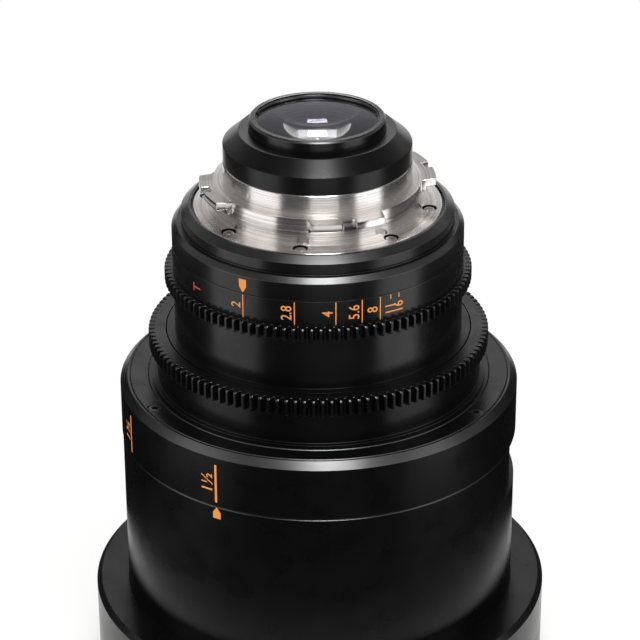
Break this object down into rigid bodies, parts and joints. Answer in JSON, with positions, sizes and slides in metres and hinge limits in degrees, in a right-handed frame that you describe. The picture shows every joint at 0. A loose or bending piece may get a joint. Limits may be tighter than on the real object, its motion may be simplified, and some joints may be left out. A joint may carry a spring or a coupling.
{
  "type": "cinema prime lens",
  "caption": "Cinema prime lens standing on its front rim, with a winged steel mount, a geared iris ring, a geared focus drum and a wide front bell.",
  "frame": {"origin": "centre of the lens mount's seat plane, on the optical axis", "axes": "+Z along the optical axis towards the camera, -Y towards the index marks, the lens stands on its front rim"},
  "size_m": [0.136, 0.136, 0.1786],
  "materials": {
    "black_anodised": "satin black anodised",
    "matt_black": "matt black anodised",
    "stainless_steel": "turned and brushed",
    "optical_glass": "polished and coated",
    "brass": "machined",
    "black_steel": "black oxide",
    "bearing_steel": "ground",
    "blade_steel": "matt black coated"
  },
  "bodies": {
    "housing": {"lens_mount": "stainless_steel", "mount_screws": "stainless_steel", "mount_shim": "brass", "rear_housing": "black_anodised", "housing_screws": "black_steel", "rear_shroud": "black_anodised", "rear_cell": "black_anodised", "rear_lock_ring": "matt_black", "rear_retaining_ring": "matt_black", "rear_element": "optical_glass", "rear_spacer": "matt_black", "rear_middle_element": "optical_glass", "rear_inner_element": "optical_glass", "iris_base_plate": "matt_black", "main_barrel": "black_anodised", "middle_cell": "matt_black", "middle_rear_element": "optical_glass", "middle_spacer": "matt_black", "middle_front_element": "optical_glass", "middle_retaining_ring": "matt_black", "bearing_fixed_race": "bearing_steel", "guide_tube": "matt_black", "guide_lock_ring": "matt_black", "front_housing": "black_anodised", "focus_stop_pin": "bearing_steel", "front_cell": "matt_black", "front_inner_ring": "matt_black", "front_inner_element": "optical_glass", "front_spacer": "matt_black", "front_middle_element": "optical_glass", "front_element": "optical_glass", "front_retaining_ring": "matt_black", "front_bell": "black_anodised"},
    "iris_ring": {"iris_scale_ring": "black_anodised", "iris_gear_ring": "black_anodised", "iris_drive_pin": "bearing_steel", "iris_cam_ring": "matt_black"},
    "focus_ring": {"focus_gear_ring": "black_anodised", "focus_drum": "black_anodised", "drum_screws": "black_steel", "focus_sleeve": "black_anodised", "bearing_turning_race": "bearing_steel"},
    "ball_cage": {"bearing_cage": "brass", "bearing_balls": "bearing_steel"},
    "focus_group": {"focus_carrier": "matt_black", "focus_keys": "brass", "focus_cell": "matt_black", "focus_rear_element": "optical_glass", "focus_spacer": "matt_black", "focus_front_element": "optical_glass", "focus_retaining_ring": "matt_black"},
    "blade_1": {"iris_blade_1": "blade_steel"},
    "blade_2": {"iris_blade_2": "blade_steel"},
    "blade_3": {"iris_blade_3": "blade_steel"},
    "blade_4": {"iris_blade_4": "blade_steel"},
    "blade_5": {"iris_blade_5": "blade_steel"},
    "blade_6": {"iris_blade_6": "blade_steel"},
    "blade_7": {"iris_blade_7": "blade_steel"},
    "blade_8": {"iris_blade_8": "blade_steel"},
    "blade_9": {"iris_blade_9": "blade_steel"}
  },
  "joints": [
    {"name": "iris_turn", "type": "hinge", "parent": "housing", "child": "iris_ring", "pos_m": [0, 0, -0.025], "axis": [0, 0, 1], "range_deg": [-64, 0]},
    {"name": "focus_turn", "type": "hinge", "parent": "housing", "child": "focus_ring", "pos_m": [0, 0, -0.062], "axis": [0, 0, 1], "range_deg": [0, 270]},
    {"name": "ball_cage_turn", "type": "hinge", "parent": "housing", "child": "ball_cage", "pos_m": [0, 0, -0.0509], "axis": [0, 0, 1], "range_deg": [0, 135]},
    {"name": "focus_slide", "type": "slide", "parent": "housing", "child": "focus_group", "axis": [0, 0, 1], "range_m": [0, 0.012]},
    {"name": "blade_1_turn", "type": "hinge", "parent": "housing", "child": "blade_1", "pos_m": [0.026, 0, -0.0205], "axis": [0, 0, 1], "range_deg": [0, 31.5]},
    {"name": "blade_2_turn", "type": "hinge", "parent": "housing", "child": "blade_2", "pos_m": [0.01992, 0.01671, -0.0205], "axis": [0, 0, 1], "range_deg": [0, 31.5]},
    {"name": "blade_3_turn", "type": "hinge", "parent": "housing", "child": "blade_3", "pos_m": [0.00451, 0.0256, -0.0205], "axis": [0, 0, 1], "range_deg": [0, 31.5]},
    {"name": "blade_4_turn", "type": "hinge", "parent": "housing", "child": "blade_4", "pos_m": [-0.013, 0.02252, -0.0205], "axis": [0, 0, 1], "range_deg": [0, 31.5]},
    {"name": "blade_5_turn", "type": "hinge", "parent": "housing", "child": "blade_5", "pos_m": [-0.02443, 0.00889, -0.0205], "axis": [0, 0, 1], "range_deg": [0, 31.5]},
    {"name": "blade_6_turn", "type": "hinge", "parent": "housing", "child": "blade_6", "pos_m": [-0.02443, -0.00889, -0.0205], "axis": [0, 0, 1], "range_deg": [0, 31.5]},
    {"name": "blade_7_turn", "type": "hinge", "parent": "housing", "child": "blade_7", "pos_m": [-0.013, -0.02252, -0.0205], "axis": [0, 0, 1], "range_deg": [0, 31.5]},
    {"name": "blade_8_turn", "type": "hinge", "parent": "housing", "child": "blade_8", "pos_m": [0.00451, -0.0256, -0.0205], "axis": [0, 0, 1], "range_deg": [0, 31.5]},
    {"name": "blade_9_turn", "type": "hinge", "parent": "housing", "child": "blade_9", "pos_m": [0.01992, -0.01671, -0.0205], "axis": [0, 0, 1], "range_deg": [0, 31.5]}
  ],
  "couplings": [
    {"joint": "ball_cage_turn", "follows": "focus_turn", "ratio": 0.5},
    {"joint": "focus_slide", "follows": "focus_turn", "m_per_rad": 0.0025465},
    {"joint": "blade_1_turn", "follows": "iris_turn", "ratio": -0.49219},
    {"joint": "blade_2_turn", "follows": "iris_turn", "ratio": -0.49219},
    {"joint": "blade_3_turn", "follows": "iris_turn", "ratio": -0.49219},
    {"joint": "blade_4_turn", "follows": "iris_turn", "ratio": -0.49219},
    {"joint": "blade_5_turn", "follows": "iris_turn", "ratio": -0.49219},
    {"joint": "blade_6_turn", "follows": "iris_turn", "ratio": -0.49219},
    {"joint": "blade_7_turn", "follows": "iris_turn", "ratio": -0.49219},
    {"joint": "blade_8_turn", "follows": "iris_turn", "ratio": -0.49219},
    {"joint": "blade_9_turn", "follows": "iris_turn", "ratio": -0.49219}
  ]
}
